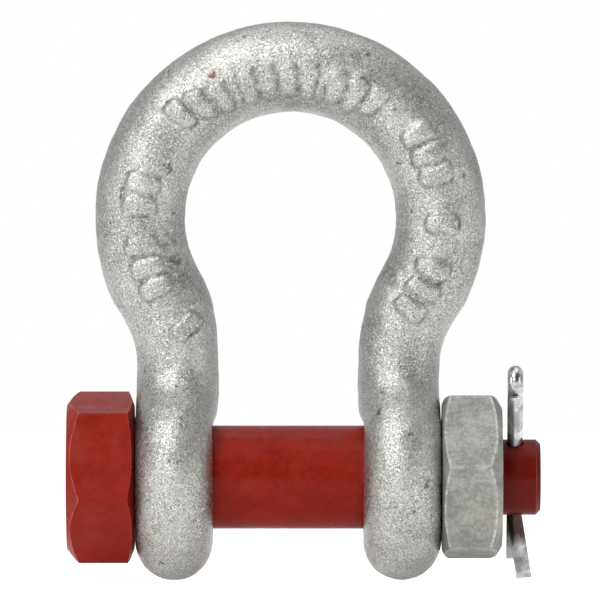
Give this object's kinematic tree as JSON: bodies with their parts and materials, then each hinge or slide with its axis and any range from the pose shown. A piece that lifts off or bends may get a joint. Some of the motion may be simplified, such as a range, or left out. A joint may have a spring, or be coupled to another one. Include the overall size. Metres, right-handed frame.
{
  "type": "bow shackle",
  "caption": "Galvanised bow shackle with a hexagon-headed safety bolt, a hexagon nut and a split pin through the bolt's plain end.",
  "frame": {"origin": "on the bolt's axis, midway between the two ears of the bow", "axes": "+X along the bolt towards the nut, +Z towards the crown of the bow, -Y towards the side that the split pin's eye leans to"},
  "size_m": [0.1164, 0.0506, 0.1374],
  "materials": {
    "galvanised_forging": "hot-dip galvanised, mottled and grainy",
    "painted_steel": "dark red paint, rubbed thin on the edges",
    "galvanised_nut": "hot-dip galvanised, smooth and matt",
    "bright_zinc": "bright zinc plate"
  },
  "bodies": {
    "bow": {"bow": "galvanised_forging"},
    "bolt": {"bolt": "painted_steel"},
    "nut": {"nut": "galvanised_nut"},
    "split_pin": {"split_pin": "bright_zinc"}
  },
  "joints": [
    {"name": "bolt_spin", "type": "hinge", "parent": "bow", "child": "bolt", "pos_m": [0, 0, 0], "axis": [1, 0, 0], "continuous": true},
    {"name": "nut_unscrew", "type": "hinge", "parent": "bolt", "child": "nut", "pos_m": [0.0452, 0, 0], "axis": [1, 0, 0], "range_deg": [0, 180]},
    {"name": "split_pin_slide", "type": "slide", "parent": "bolt", "child": "split_pin", "axis": [0, -0.4067, 0.9135], "range_m": [-0.012, 0]}
  ]
}
